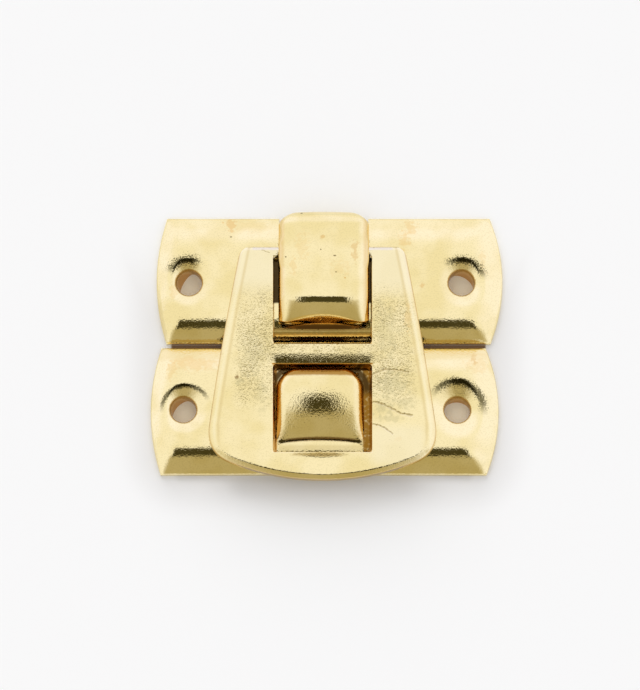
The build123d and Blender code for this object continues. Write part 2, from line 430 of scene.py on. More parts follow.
def rounded_box(direction, half_u, half_v, top_corner, foot_corner):
    """Points of a rounded rectangle, spread like the points of a box round it."""
    out = np.empty_like(direction)
    wide = np.abs(direction).max(0)
    for i, (a, b) in enumerate(direction):
        x, y = a / wide[0] * half_u, b / wide[1] * half_v
        corner = top_corner if y > 0 else foot_corner
        cx, cy = half_u - corner, half_v - corner
        if abs(x) > cx and abs(y) > cy:
            px, py = (abs(x) - cx) / corner, (abs(y) - cy) / corner
            scale = max(px, py) / hypot(px, py) * corner
            x, y = copysign(cx + px * scale, x), copysign(cy + py * scale, y)
        out[i] = (x, y)
    return out


def corner_inset(a, b, radius):
    """Distance inside two square edges whose corner is rounded."""
    round_part = radius - np.hypot(np.maximum(radius - a, 0), np.maximum(radius - b, 0))
    return np.where((a < radius) & (b < radius), round_part, np.minimum(a, b))


def on_keeper(u, v):
    """Place on the keeper, from its middle line, and the distance inside its walls."""
    x, y = u - (KEEPER_X - LOWER_X), v + LOWER_Y
    return x, y, corner_inset(KEEPER_HALF - np.abs(x), KEEPER_WALL_Y - y, KEEPER_CORNER)


def keeper_face(u, v, plate):
    """Lays the keeper's hump, crowned across and bowed along, over the plate's face."""
    x, y, inset = on_keeper(u, v)
    shift = (0.02 + 0.042 * x**2) * unit((-13.3 - y) / 1.9) ** 1.2
    along = np.clip(y + shift + 10.0, -6.2, 6.2)
    bow = 8.0 + 0.05 * x**2
    fall = np.where(along > 0, 0.35, 1.0) * (bow - np.sqrt(bow**2 - along**2))
    arch = 16.5 + 5.0 * unit((-12.9 - y) / 2.2)
    top = KEEPER_TOP - fall - (arch - np.sqrt(arch**2 - x**2))
    apron = 0.09 * unit(1 - (x / 3.9) ** 2) * unit((y + 16.5) / 0.3)
    plate = plate + apron * (y < KEEPER_WALL_Y - 1)
    swell = np.sqrt(unit(1 - (1 - unit(inset / KEEPER_SHOULDER)) ** 2))
    hump = soft_max(plate, plate + (top - plate) * swell, 0.10)
    return np.where((inset > -0.02) & (y > KEEPER_FOOT_Y - 0.72), hump, plate)


def plate_skin(name, hole_v, bells, seed, keeper):
    """The face of a plate as joined sheets: two ends round their holes and the middle."""
    parts = []
    for plan in [end_patch(side, hole_v) for side in (-1, 1)] + middle_plans(keeper):
        u, v = plan[..., 0], plan[..., 1]
        z = plate_face(u, v, hole_v, bells, seed, keeper)
        if keeper:
            z = keeper_face(u, v, z)
        parts.append(sheet(name, np.dstack([plan, z])))
    return joined(name, parts)


def plate_back(hole_v, leans, keeper):
    """A function for the back of a plate: hollow, but solid at rim, walls and screws."""

    def back_of(top):
        back = top.copy()
        u, v = top[:, 0], top[:, 1]
        z = np.maximum(top[:, 2] - SHEET, 0)
        z = np.where(plate_inset(u, v) < SOLID_RIM, 0, z)
        if keeper:
            _, y, inset = on_keeper(u, v)
            wall = (inset > -0.02) & (inset < SOLID_RIM) & (y > KEEPER_FOOT_Y - 0.12)
            z = np.where(wall, np.minimum(z, LOW_ROOF), z)
        for side, (angle, amount) in zip((-1, 1), leans):
            du, dv = u - side * HOLE_X, v - hole_v
            r = np.hypot(du, dv)
            roof = unit((r - SOLID_RING) / RING_FADE) * LOW_ROOF
            z = np.where(r > SOLID_RING + RING_FADE, z, np.minimum(z, roof))
            ax, ay = cos(radians(angle)), sin(radians(angle))
            facing = unit((du * ax + dv * ay) / np.maximum(r, 1e-6)) ** 1.3
            near = unit(1 - (r - HOLE_R) / 0.5)
            back[:, 0] -= (amount * facing * ax + 0.05 * du / HOLE_R) * near
            back[:, 1] -= (amount * facing * ay + 0.05 * dv / HOLE_R) * near
        back[:, 2] = z
        return back

    return back_of


def side_x(y):
    """Half width of the hasp, whose sides lean and swell a little."""
    corner_y = FOOT_Y + FOOT_CURVE - sqrt(FOOT_CURVE**2 - FOOT_HALF**2)
    t = (BAR_Y - y) / (BAR_Y - corner_y)
    return BAR_HALF + (FOOT_HALF - BAR_HALF) * t + SIDE_SWELL * (1 - (2 * t - 1) ** 2)


def edge_distances(x, y):
    """Distances to the hasp's side, measured level, and to its curved foot."""
    return side_x(y) - np.abs(x), FOOT_CURVE - np.hypot(x, y - FOOT_Y - FOOT_CURVE)


def hasp_inset(x, y):
    """Distance inside the hasp's outline, with its corners rounded."""
    beside, above_foot = edge_distances(x, y)
    inset = soft_min(beside * SIDE_LEAN, above_foot, 2.2)
    return soft_min(inset, BAR_Y + BAR_R - y, 1.1)


def window_gap(x, y, window):
    low, high = window
    qx = np.abs(x) - WINDOW_HALF
    qy = np.abs(y - (low + high) / 2) - (high - low) / 2
    return np.hypot(np.maximum(qx, 0), np.maximum(qy, 0))


def bar_bow(y, least=0):
    """How far the round bar stands from its middle, at least by the least."""
    return np.sqrt(np.maximum(BAR_R**2 - (y - BAR_Y) ** 2, least**2))


def hasp_face(x, y):
    """Height of the hasp's face: coined bevels, soft punched edges, round bar, lip and dents."""
    inset = hasp_inset(x, y)
    beside, above_foot = edge_distances(x, y)
    beside, above_foot = np.maximum(beside * SIDE_LEAN, 0), np.maximum(above_foot, 0)
    z = np.full_like(x, HASP_TOP - 0.015)
    by_edge = unit(1 - soft_min(beside, above_foot + 1.2, 0.3) / SIDE_BEVEL_WIDTH)
    z -= SIDE_BEVEL * by_edge**1.15
    by_foot = unit(1 - np.maximum(inset, 0) / FOOT_BEVEL_WIDTH)
    z -= FOOT_BEVEL * by_foot * unit((beside - above_foot + 0.6) / 1.6)
    z -= rolled(inset, SOFT_EDGE)
    on_bar = (np.abs(x - 0.12) < 4.2) & (y > BAR_FROM)
    z -= np.where(on_bar, 0, rolled(window_gap(x, y, UPPER_WINDOW), SOFT_EDGE))
    z -= rolled(window_gap(x, y, LOWER_WINDOW), SOFT_EDGE)
    bar = BAR_Z + bar_bow(y)
    z = np.where(on_bar, bar, z)
    z = np.where((y > BAR_Y) & ~on_bar, np.minimum(z, bar), z)
    low, high = LOWER_WINDOW
    mid_bar = unit((WINDOW_HALF + 0.6 - np.abs(x)) / 0.8) * (y > high - 0.01)
    z -= MID_BAR_SINK * mid_bar * unit((-6.9 - y) / 1.03) ** 1.4
    lip = unit(1 - ((x + 0.1) / 3.0) ** 2) * (y < low + 0.01)
    z += LIP_RISE * lip * unit(1 - (low - y) / (0.12 + 0.5 * lip))
    calm = unit(inset) * np.where(on_bar, 0, 1)
    z += calm * dents(x, y, 0.012, (0.012, 3.0, 11.0), (0.004, 1.0, 15.0))
    return z


def to_outline(start, target):
    """Slides each target along its line from the window until it lies on the outline."""
    low = np.zeros(len(start))
    high = np.full(len(start), 1.25)
    for _ in range(40):
        middle = (low + high) / 2
        p = start + (target - start) * middle[:, None]
        inside = hasp_inset(p[:, 0], p[:, 1]) > 0
        low = np.where(inside, middle, low)
        high = np.where(inside, high, middle)
    return start + (target - start) * low[:, None]


def hasp_ring(window, y_low, y_high):
    """Sheet of the hasp's face from a window out to the outline, or to the mid-bar's middle."""
    low, high = window
    across, down = np.linspace(-1, 1, 73), np.linspace(-1, 1, 65)
    inner = rounded_box(loop_round(across, down), WINDOW_HALF, (high - low) / 2, 0.3, 0.3)
    inner += (0, (low + high) / 2)
    outer = loop_round(across, np.linspace(y_low, y_high, 65))
    outer[:, 0] *= side_x(outer[:, 1])
    free = np.abs(outer[:, 1] - MID_BAR_Y) > 1e-6
    outer = np.where(free[:, None], to_outline(inner, outer), outer)
    length = np.hypot(*(outer - inner).T)
    ray = (outer - inner) / length[:, None]
    near = np.array([0.0, 0.012, 0.035, 0.075, 0.13])
    far = np.array([0.95, 0.72, 0.56, 0.45, 0.41, 0.3, 0.18, 0.07, 0.035, 0.012, 0.0])
    fit = np.minimum(1, length / 2.2)
    rows = [inner + ray * (s * fit)[:, None] for s in near]
    a, b = near[-1] * fit, length - far[0] * fit
    rows += [inner + ray * (a + (b - a) * t)[:, None] for t in np.linspace(0, 1, 22)[1:-1]]
    rows += [inner + ray * (length - s * fit)[:, None] for s in far]
    plan = np.array(rows)
    return sheet("hasp", np.dstack([plan, hasp_face(plan[..., 0], plan[..., 1])]))


def hasp_back(top):
    """Back of the hasp: flat, round behind the bar, with window walls that lean in."""
    back = top.copy()
    x, y = top[:, 0], top[:, 1]
    on_bar = (np.abs(x) < WINDOW_HALF + 0.02) & (y > BAR_FROM)
    back[:, 2] = np.where(on_bar | (y > BAR_Y), BAR_Z - bar_bow(y, HAIR), HASP_BACK)
    for window, lean in ((UPPER_WINDOW, 0.10), (LOWER_WINDOW, 0.22)):
        low, high = window
        near = unit(1 - window_gap(x, y, window) / 0.6) * ~(on_bar | (y > 2.0))
        back[:, 0] -= near * lean * x / WINDOW_HALF
        back[:, 1] -= near * lean * (y - (low + high) / 2) / ((high - low) / 2)
    return back


def make_hasp():
    upper = hasp_ring(UPPER_WINDOW, MID_BAR_Y, BAR_Y + BAR_R)
    lower = hasp_ring(LOWER_WINDOW, FOOT_Y, MID_BAR_Y)
    piece = joined("hasp_brass_plate", [upper, lower])
    thickened(piece, hasp_back)
    x, y = coords(piece)[:, :2].T
    beside, above_foot = edge_distances(x, y)
    foot = unit((beside - above_foot + 1.0) / 2.0)
    mark(piece, "foot", foot)
    mark(piece, "edge", soft_min(beside, above_foot, 2.2) * (1 + 0.7 * foot))
    moved(piece, HASP_X, 0)
    smoothed(piece)
    return piece


def tongue_path():
    """Stations along the tongue's outer face: y, z and the outward direction in them."""
    under = PLATE_TOP - SHEET
    stations = [(y, under, 0.0, -1.0) for y in np.linspace(TONGUE_START, FOLD_Y, 10)[:-1]]
    for a in np.linspace(0, pi, 41):
        y, z = FOLD_Y + FOLD_R * sin(a), TONGUE_TOP - FOLD_R - FOLD_R * cos(a)
        stations.append((y, z, sin(a), -cos(a)))
    stations += [(y, TONGUE_TOP, 0.0, 1.0) for y in np.linspace(FOLD_Y, NOSE_Y, 48)[1:-1]]
    for a in np.linspace(0, radians(NOSE_TURN), 24):
        y, z = NOSE_Y - NOSE_R * sin(a), TONGUE_TOP - NOSE_R * (1 - cos(a))
        stations.append((y, z, -sin(a), cos(a)))
    # the nose steepens, runs straight down to a height, and curls out to the tip
    for turn, radius, count, down_to in ((57, 1.5, 6, 1.95), (25, -0.6, 12, None)):
        y, z, ny, nz = stations[-1]
        first = atan2(-ny, nz)
        for a in np.linspace(first, radians(turn), count)[1:]:
            dy, dz = radius * (sin(a) - sin(first)), radius * (cos(first) - cos(a))
            stations.append((y - dy, z - dz, -sin(a), cos(a)))
        y, z, ny, nz = stations[-1]
        fall = z - down_to if down_to else (y - TIP_Y) * tan(radians(turn))
        for s in (0.5, 1.0):
            stations.append((y + fall * s * nz / ny, z - fall * s, ny, nz))
    return np.array(stations)


def tongue_section(half, crown, depth):
    """Closed section of the tongue: crowned face, rounded shoulders and a flat back."""
    xs = np.linspace(-1, 1, 45)
    x = np.sign(xs) * (1 - (1 - np.abs(xs)) ** 1.8) * half
    drop = crown - np.sqrt(crown**2 - x**2)
    drop = drop + rolled(half - np.abs(x), SHOULDER) * depth / SHOULDER
    face = np.stack([x, -drop], 1)
    back_x = np.linspace(half - 0.02, -half + 0.02, 25)
    lip = unit((np.abs(back_x) - half + 0.9) / 0.8)
    back_drop = SHEET + np.maximum(drop[0] + 0.03 - SHEET, 0) * lip
    back = np.stack([back_x, -back_drop], 1)
    return np.concatenate([face, back, face[:1]])


def tongue_row(y, z, ny, nz):
    """The section at one station: waisted at the fold, drawn in and bent round at the tip."""
    neck = max(0.0, y - (FOLD_BACK - NECK_R))
    half = TONGUE_HALF - (NECK_R - sqrt(max(NECK_R**2 - neck**2, 0.05)))
    tip = max(0.0, (y - TIP_Y) / 0.6) if y < 0 else 1.0
    if tip < 1:
        half -= 0.5 * (1 - sqrt(1 - (1 - tip) ** 2))
    crown = 24.0 + 24.0 * unit((y - 3.2) / 2.0)
    deeper = unit((abs(y - TONGUE_START) - 0.8) / 0.8)
    shallow = 0.3 + 0.7 * unit((y - TIP_Y) / 1.2) if nz > 0 and y < 0 else 1.0
    section = tongue_section(half, crown, (0.5 + 0.45 * deeper) * shallow)
    curl = unit((NOSE_Y - 0.85 - y) / 1.25) if nz > 0 else 0.0
    curl = min(curl**1.3, max(y - TIP_Y, 0.0) / 0.9 + 0.05)
    row = np.empty((len(section), 3))
    row[:, 0] = section[:, 0] + TONGUE_X
    row[:, 1] = y + section[:, 1] * ny
    row[:, 2] = z + section[:, 1] * nz
    row[:, 1] -= 0.9 * curl * (section[:, 0] / TONGUE_HALF) ** 2
    return row


def make_tongue():
    rows = np.array([tongue_row(*station) for station in tongue_path()])
    # the nose stays clear of the plate
    over = bend_height(HALF_WIDTH - np.abs(rows[..., 1] - UPPER_Y)) + 0.05
    on_face = np.arange(len(rows))[:, None] > FACE_ROW
    rows[..., 2] = np.where(on_face, np.maximum(rows[..., 2], over), rows[..., 2])
    face = rows[..., 2] > PLATE_TOP + 0.6
    sunk = dents(rows[..., 0], rows[..., 1], 0.010, (0.010, 3.0, 31.0), (0.003, 1.0, 35.0))
    rows[..., 2] += np.where(face, sunk, 0)
    piece = sheet("tongue", rows)
    edit_all(piece)
    bpy.ops.mesh.remove_doubles(threshold=WELD * MM)
    bpy.ops.mesh.select_all(action="DESELECT")
    bpy.ops.mesh.select_non_manifold(extend=False, use_wire=False, use_boundary=True)
    bpy.ops.mesh.edge_face_add()
    end_edit()
    return piece


def cut_with(piece, other, operation):
    only(piece)
    change = piece.modifiers.new("cut", "BOOLEAN")
    change.operation = operation
    change.solver = "EXACT"
    change.object = other
    bpy.ops.object.modifier_apply(modifier=change.name)
    bpy.data.objects.remove(other)


def block(low, high):
    only(None)
    middle = [(a + b) / 2 * MM for a, b in zip(low, high)]
    bpy.ops.mesh.primitive_cube_add(size=1, location=middle)
    piece = bpy.context.object
    piece.name = "notch"
    bpy.ops.transform.resize(value=[(b - a) * MM for a, b in zip(low, high)])
    bpy.ops.object.transform_apply(location=True, rotation=True, scale=True)
    return piece


def make_upper():
    hole_v = -UPPER_Y
    piece = plate_skin("upper_brass_plate", hole_v, UPPER_BELLS, 21.0, False)
    thickened(piece, plate_back(hole_v, UPPER_LEANS, False))
    moved(piece, 0.0, UPPER_Y)
    notch = block((TONGUE_X - NOTCH_HALF, NOTCH_Y, -1.0), (TONGUE_X + NOTCH_HALF, 8.0, 3.0))
    cut_with(piece, notch, "DIFFERENCE")
    cut_with(piece, make_tongue(), "UNION")
    smoothed(piece)
    return piece


def make_lower():
    piece = plate_skin("lower_brass_plate", 0.0, LOWER_BELLS, 27.0, True)
    thickened(piece, plate_back(0.0, LOWER_LEANS, True))
    moved(piece, LOWER_X, LOWER_Y)
    smoothed(piece)
    return piece


def tree_of(*values):
    """The node tree of the first socket among the values."""
    return next(value.id_data for value in values if isinstance(value, bpy.types.NodeSocket))


def put(socket, value):
    if isinstance(value, bpy.types.NodeSocket):
        socket.id_data.links.new(value, socket)
    elif isinstance(value, tuple) and len(value) == 3 and socket.type == "RGBA":
        socket.default_value = (*value, 1)
    else:
        socket.default_value = value


def add(tree, kind, inputs=None, **settings):
    node = tree.nodes.new(kind)
    for key, value in settings.items():
        setattr(node, key, value)
    for key, value in (inputs or {}).items():
        put(node.inputs[key], value)
    return node


def calc(kind, a, b=0.0, clamp=False):
    node = add(tree_of(a, b), "ShaderNodeMath", {0: a, 1: b}, operation=kind, use_clamp=clamp)
    return node.outputs[0]


def times(a, b):
    return calc("MULTIPLY", a, b)


def vector(kind, a, b=(0, 0, 0), out="Vector"):
    node = add(tree_of(a, b), "ShaderNodeVectorMath", {0: a, 1: b}, operation=kind)
    return node.outputs[out]


def blend(factor, a, b):
    values = {"Factor": factor, "A": a, "B": b}
    return add(tree_of(factor), "ShaderNodeMix", values, data_type="RGBA").outputs["Result"]


def ramp(value, start, end, low=0.0, high=1.0):
    """Value moved smoothly from low at start to high at end."""
    values = {"Value": value, "From Min": start, "From Max": end, "To Min": low, "To Max": high}
    node = add(tree_of(value), "ShaderNodeMapRange", values, interpolation_type="SMOOTHSTEP")
    return node.outputs["Result"]


def fade(value, start, end, low=0.0):
    """Value moved smoothly from 1 at start down to low at end."""
    return ramp(value, start, end, 1.0, low)


def noise_height(place, scale, detail):
    """Even noise, about 0 in the middle."""
    values = {"Vector": place, "Scale": scale, "Detail": detail}
    texture = add(tree_of(place), "ShaderNodeTexNoise", values)
    return calc("SUBTRACT", texture.outputs["Fac"], 0.5)


def new_group(name, **values):
    """A node group that takes a place and the named values, and gives one number."""
    tree = bpy.data.node_groups.new(name, "ShaderNodeTree")
    tree.interface.new_socket("place", in_out="INPUT", socket_type="NodeSocketVector")
    for key, value in values.items():
        kind = "NodeSocketVector" if isinstance(value, tuple) else "NodeSocketFloat"
        socket = tree.interface.new_socket(key, in_out="INPUT", socket_type=kind)
        socket.default_value = value
    tree.interface.new_socket("value", in_out="OUTPUT", socket_type="NodeSocketFloat")
    given, result = tree.nodes.new("NodeGroupInput"), tree.nodes.new("NodeGroupOutput")
    return tree, given.outputs, result.inputs["value"]


def use(group, place, **inputs):
    inputs["place"] = place
    return add(tree_of(place), "ShaderNodeGroup", inputs, node_tree=group).outputs[0]


def make_peel():
    """Grain of pressed sheet: rounded bumps with finer ones on them, about 0 in the middle."""
    tree, given, result = new_group("pressed_grain", size=0.3)
    scale = calc("DIVIDE", 1.0, given["size"])
    put(result, noise_height(given["place"], scale, 2.0))
    return tree


def make_spot():
    """Ragged spot round a centre: 1 inside, fading out at its half size."""
    tree, given, result = new_group("spot", centre=(0, 0, 0), half_size=(1, 1, 9), ragged=0.3)
    offset = vector("SUBTRACT", given["place"], given["centre"])
    scaled = vector("DIVIDE", offset, given["half_size"])
    reach = vector("LENGTH", scaled, out="Value")
    wander = times(times(noise_height(given["place"], 2.6, 3.0), 6.0), given["ragged"])
    put(result, fade(calc("ADD", reach, wander), 0.35, 1.0))
    return tree


def make_crease():
    """Thin line between two points of the face."""
    tree, given, result = new_group("crease", start=(0, 0, 0), end=(1, 0, 0), width=0.06)
    values = {"Vector": given["place"], "Scale": 3.0, "Detail": 2.0}
    wobble = add(tree, "ShaderNodeTexNoise", values)
    shift = vector("SUBTRACT", wobble.outputs["Color"], (0.5, 0.5, 0.5))
    shift = vector("MULTIPLY", shift, (0.25, 0.25, 0.0))
    place = vector("MULTIPLY", vector("ADD", given["place"], shift), (1, 1, 0))
    along = vector("SUBTRACT", given["end"], given["start"])
    offset = vector("SUBTRACT", place, given["start"])
    whole = vector("DOT_PRODUCT", along, along, out="Value")
    part = vector("DOT_PRODUCT", offset, along, out="Value")
    part = calc("DIVIDE", part, whole, clamp=True)
    scaled = add(tree, "ShaderNodeVectorMath", {0: along, "Scale": part}, operation="SCALE")
    away = vector("LENGTH", vector("SUBTRACT", offset, scaled.outputs[0]), out="Value")
    put(result, fade(calc("DIVIDE", away, given["width"]), 0.2, 1.0))
    return tree


def make_patch():
    """Soft-edged box: 1 inside, 0 beyond the fade."""
    values = {"centre": (0, 0, 0), "half_size": (1, 1, 1), "fade": 0.2, "ragged": 0.1}
    tree, given, result = new_group("patch", **values)
    offset = vector("ABSOLUTE", vector("SUBTRACT", given["place"], given["centre"]))
    over = vector("MAXIMUM", vector("SUBTRACT", offset, given["half_size"]))
    reach = vector("LENGTH", over, out="Value")
    wander = times(noise_height(given["place"], 3.5, 3.0), given["ragged"])
    reach = calc("ADD", reach, wander)
    put(result, fade(calc("DIVIDE", reach, given["fade"]), 0.0, 1.0))
    return tree


def make_arc():
    """Part of a ring round a centre, within a span to either side of where it faces."""
    values = {"centre": (0, 0, 0), "radius": 2.2, "width": 0.3, "facing": (0, 1, 0)}
    tree, given, result = new_group("arc", **values, span=0.5, ragged=1.0)
    offset = vector("SUBTRACT", given["place"], given["centre"])
    offset = vector("MULTIPLY", offset, (1, 1, 0))
    reach = vector("LENGTH", offset, out="Value")
    toward = vector("NORMALIZE", offset)
    facing = vector("DOT_PRODUCT", toward, given["facing"], out="Value")
    turn = times(calc("ARCCOSINE", facing), TO_DEGREES)
    within = fade(calc("DIVIDE", turn, given["span"]), 0.65, 1.1)
    wander = times(noise_height(given["place"], 8.5, 3.0), given["ragged"])
    away = calc("ABSOLUTE", calc("SUBTRACT", reach, given["radius"]))
    away = calc("ADD", calc("DIVIDE", away, given["width"]), times(wander, 3.8))
    put(result, times(fade(away, 0.3, 1.0), within))
    return tree


def make_pits():
    """Sparse small pits, 1 inside."""
    tree, given, result = new_group("pits", spacing=1.6, share=0.3)
    scale = calc("DIVIDE", 1.0, given["spacing"])
    cell = add(tree, "ShaderNodeTexVoronoi", {"Vector": given["place"], "Scale": scale})
    draw = add(tree, "ShaderNodeSeparateColor", {0: cell.outputs["Color"]}).outputs["Red"]
    size = times(calc("SUBTRACT", given["share"], draw), 0.16)
    share = calc("DIVIDE", cell.outputs["Distance"], calc("MAXIMUM", size, 0.0001))
    put(result, fade(share, 0.5, 1.0))
    return tree


peel, spot, crease = make_peel(), make_spot(), make_crease()
patch, arc, pits = make_patch(), make_arc(), make_pits()


def object_place(tree):
    """Place on the object in millimetres."""
    coord = add(tree, "ShaderNodeTexCoord")
    return vector("MULTIPLY", coord.outputs["Object"], (1 / MM, 1 / MM, 1 / MM))


def tinted(colour, layers):
    """The colour with tints laid over it one by one, each with its mask and strength."""
    for mask, strength, tint in layers:
        colour = blend(times(mask, strength), colour, tint)
    return colour


def grain_zone(place, low, high):
    """Mask of the hasp's rough middle, with clouds in it."""
    x, y, _ = add(tree_of(place), "ShaderNodeSeparateXYZ", {0: place}).outputs
    rise = ramp(y, low - 1.2, low + 1.2)
    inside = times(rise, fade(y, high - 1.5, high + 1.5))
    inside = times(inside, fade(calc("ABSOLUTE", x), 7.2, 8.8))
    clouds = ramp(use(peel, place, size=1.9), -0.18, 0.16, 0.45, 1.0)
    return times(inside, clouds)


def mark_layers(place, spots=(), patches=(), arcs=()):
    """Painted marks: masks with their strengths and tints."""
    layers = []
    for x, y, dx, dy, ragged, strength, tint in spots:
        mask = use(spot, place, centre=(x, y, 0), half_size=(dx, dy, 999), ragged=ragged)
        layers.append((mask, strength, tint))
    for centre, half_size, soft, ragged, strength, tint in patches:
        mask = use(patch, place, centre=centre, half_size=half_size, fade=soft, ragged=ragged)
        layers.append((mask, strength, tint))
    for x, y, radius, width, facing, span, ragged, strength, tint in arcs:
        aim = (cos(radians(facing)), sin(radians(facing)), 0)
        values = {"radius": radius, "width": width, "facing": aim, "span": span}
        mask = use(arc, place, centre=(x, y, 0), ragged=ragged, **values)
        layers.append((mask, strength, tint))
    return layers


def edge_layers(tree, edges):
    """Painted highlight and reflection lines along the hasp's outline: masks with their strengths
    and tints.
    """
    inset, foot = (
        add(tree, "ShaderNodeAttribute", attribute_name=name).outputs["Fac"]
        for name in ("edge", "foot")
    )
    layers = []
    for start, peak, end, by_side, by_foot, tint in edges:
        line = times(ramp(inset, start, peak), fade(inset, peak, end))
        strength = calc("ADD", times(foot, by_foot - by_side), by_side)
        layers.append((line, strength, tint))
    return layers


def brass(
    name, grain, sizes, zone=None, stretch=(1, 1, 1), rises=(),
    spots=(), patches=(), arcs=(), creases=(), edges=(),
):
    """Polished brass sheet: pressed grain, faint tarnish, specks, creases, painted shade in the
    gaps and the painted reflections and highlights it is given.
    """
    mat = bpy.data.materials.new(name)
    mat.use_nodes = True
    tree = mat.node_tree
    shader = tree.nodes["Principled BSDF"]
    shader.inputs["Metallic"].default_value = 1.0
    place = object_place(tree)
    drawn = vector("MULTIPLY", place, stretch)
    coarse, fine = (use(peel, drawn, size=size) for size in sizes)
    dullness, amount = 0.12, grain
    if zone:
        low, high, factor = zone
        inside = grain_zone(place, low, high)
        dullness = calc("ADD", times(inside, 0.85), dullness)
        amount = calc("ADD", times(inside, grain * (factor - 1)), grain)
    for centre, half_size, share in rises:
        mask = use(patch, place, centre=centre, half_size=half_size, fade=0.4, ragged=0.0)
        amount = times(amount, calc("SUBTRACT", 1.0, times(mask, 1 - share)))
    height = times(calc("ADD", times(coarse, 0.7), fine), amount)
    height = calc("ADD", height, times(use(peel, place, size=1.5), 0.012))
    # faint warm and pale clouds of tarnish and wear
    cloud = ramp(use(peel, place, size=3.2), -0.12, 0.16)
    colour = blend(cloud, PALE_BRASS, WARM_BRASS)
    speck = use(pits, place, spacing=0.9, share=0.30)
    height = calc("SUBTRACT", height, times(speck, 0.01))
    layers = [(ramp(fine, -0.02, 0.13), dullness, FRECKLE), (speck, 0.75, SPECK)]
    layers += mark_layers(place, spots, patches, arcs)
    for points, width, depth in creases:
        for first, last in zip(points[:-1], points[1:]):
            mask = use(crease, place, start=(*first, 0), end=(*last, 0), width=width)
            height = calc("SUBTRACT", height, times(mask, depth))
            layers.append((mask, 0.45, CREASE_AND_EDGE_REFLECTION))
    if edges:
        layers += edge_layers(tree, edges)
    put(shader.inputs["Base Color"], tinted(colour, layers))
    smudge = ramp(use(peel, place, size=2.3), -0.15, 0.2, 0.045, 0.09)
    put(shader.inputs["Roughness"], smudge)
    bump = add(tree, "ShaderNodeBump", {"Height": height, "Strength": 1.0, "Distance": MM})
    put(shader.inputs["Normal"], bump.outputs["Normal"])
    return mat


def make_world():
    """Soft studio: bright above, behind and beside, dimmer in front, with a dark camera."""
    world = bpy.data.worlds.new("studio")
    bpy.context.scene.world = world
    world.use_nodes = True
    tree = world.node_tree
    tree.nodes.clear()
    coord = add(tree, "ShaderNodeTexCoord")
    x, y, z = add(tree, "ShaderNodeSeparateXYZ", {0: coord.outputs["Generated"]}).outputs
    front = times(calc("ARCTAN2", times(y, -1.0), z), TO_DEGREES)
    aside = times(calc("ARCSINE", calc("ABSOLUTE", x)), TO_DEGREES)
    # cooler, stronger light from behind and from the right
    behind = times(ramp(front, -16, -48), fade(front, -60, -85, 0.3))
    right = times(ramp(x, 0.25, 0.75), 0.8)
    light = blend(calc("MAXIMUM", behind, right), (1.0, 1.0, 1.0), COOL_LIGHT)
    # dim warm room in front, and the dark camera in it
    dim = times(ramp(front, 8, 28), fade(aside, 6, 48))
    dim = times(dim, fade(front, 76, 84, 0.2))
    light = blend(dim, light, DIM_LIGHT)
    off = calc("ABSOLUTE", calc("SUBTRACT", front, CAMERA_LEAN))
    card = times(fade(off, 10.5, 13.5), fade(aside, 10.3, 12.0))
    light = blend(card, light, CARD)
    studio = add(tree, "ShaderNodeBackground", {"Color": light})
    haze = add(tree, "ShaderNodeBackground", {"Color": (1.0, 0.995, 0.985, 1), "Strength": 0.79})
    diffuse = add(tree, "ShaderNodeLightPath").outputs["Is Diffuse Ray"]
    mix = add(tree, "ShaderNodeMixShader", {0: diffuse, 1: studio.outputs[0], 2: haze.outputs[0]})
    add(tree, "ShaderNodeOutputWorld", {0: mix.outputs[0]})


def make_sun():
    """Wide soft lamp behind and to the left, for the table's shadow."""
    data = bpy.data.lights.new("window", "SUN")
    data.energy = 1.35
    data.angle = radians(50)
    lamp = bpy.data.objects.new("window", data)
    bpy.context.scene.collection.objects.link(lamp)
    lamp.rotation_euler = Vector((-0.16, 0.88, 0.40)).to_track_quat("Z", "Y").to_euler()
    lamp.visible_glossy = False


def make_floor():
    """Pale paper that darkens softly round the object, with close shadows painted on it."""
    only(None)
    bpy.ops.mesh.primitive_plane_add(size=1.6, location=(0, -0.005, 0))
    floor = bpy.context.object
    floor.name = "table"
    bpy.ops.object.transform_apply(location=True)
    mat = bpy.data.materials.new("table_paper")
    mat.use_nodes = True
    tree = mat.node_tree
    tree.nodes.clear()
    place = object_place(tree)
    offset = vector("ABSOLUTE", vector("SUBTRACT", place, (0, -6.4, 0)))
    offset = vector("MAXIMUM", vector("SUBTRACT", offset, (13.0, 9.4, 99)))
    far = ramp(vector("LENGTH", offset, out="Value"), 2.6, 6.5)
    y = add(tree, "ShaderNodeSeparateXYZ", {0: place}).outputs["Y"]
    light = calc("MAXIMUM", far, ramp(y, -4.0, 5.0))
    # painted shade line under the seam, painted warm glow below each hole, painted shadows under
    # the foot and along the front
    seam = ((0.3, -5.78, 0), (14.3, 0.10, 1), 0.25, 0.0, 1.0, (0.17, 0.085, 0.025))
    glows = [(x, y, 2.0, 2.0, 0.0, 1.0, (0.84, 0.735, 0.55)) for x, y in holes]
    foot = ((-0.2, -17.6, 0), (7.0, 0.3, 1), 2.6, 0.0, 0.6, (0.66, 0.645, 0.63))
    front = ((-0.1, -17.7, 0), (13.0, 0.1, 1), 0.9, 0.0, 0.55, (0.62, 0.60, 0.58))
    layers = mark_layers(place, patches=[seam]) + mark_layers(place, glows, [foot, front])
    tone = tinted(blend(light, SHADED_PAPER, PAPER), layers)
    paper = add(tree, "ShaderNodeBsdfDiffuse", {"Color": tone})
    # a touch of its own light where it is looked at or mirrored
    path = add(tree, "ShaderNodeLightPath").outputs
    seen = calc("MAXIMUM", path["Is Camera Ray"], path["Is Glossy Ray"])
    lift = add(tree, "ShaderNodeEmission", {"Strength": times(seen, 0.025)})
    both = add(tree, "ShaderNodeAddShader", {0: paper.outputs[0], 1: lift.outputs[0]})
    add(tree, "ShaderNodeOutputMaterial", {0: both.outputs[0]})
    floor.data.materials.append(mat)


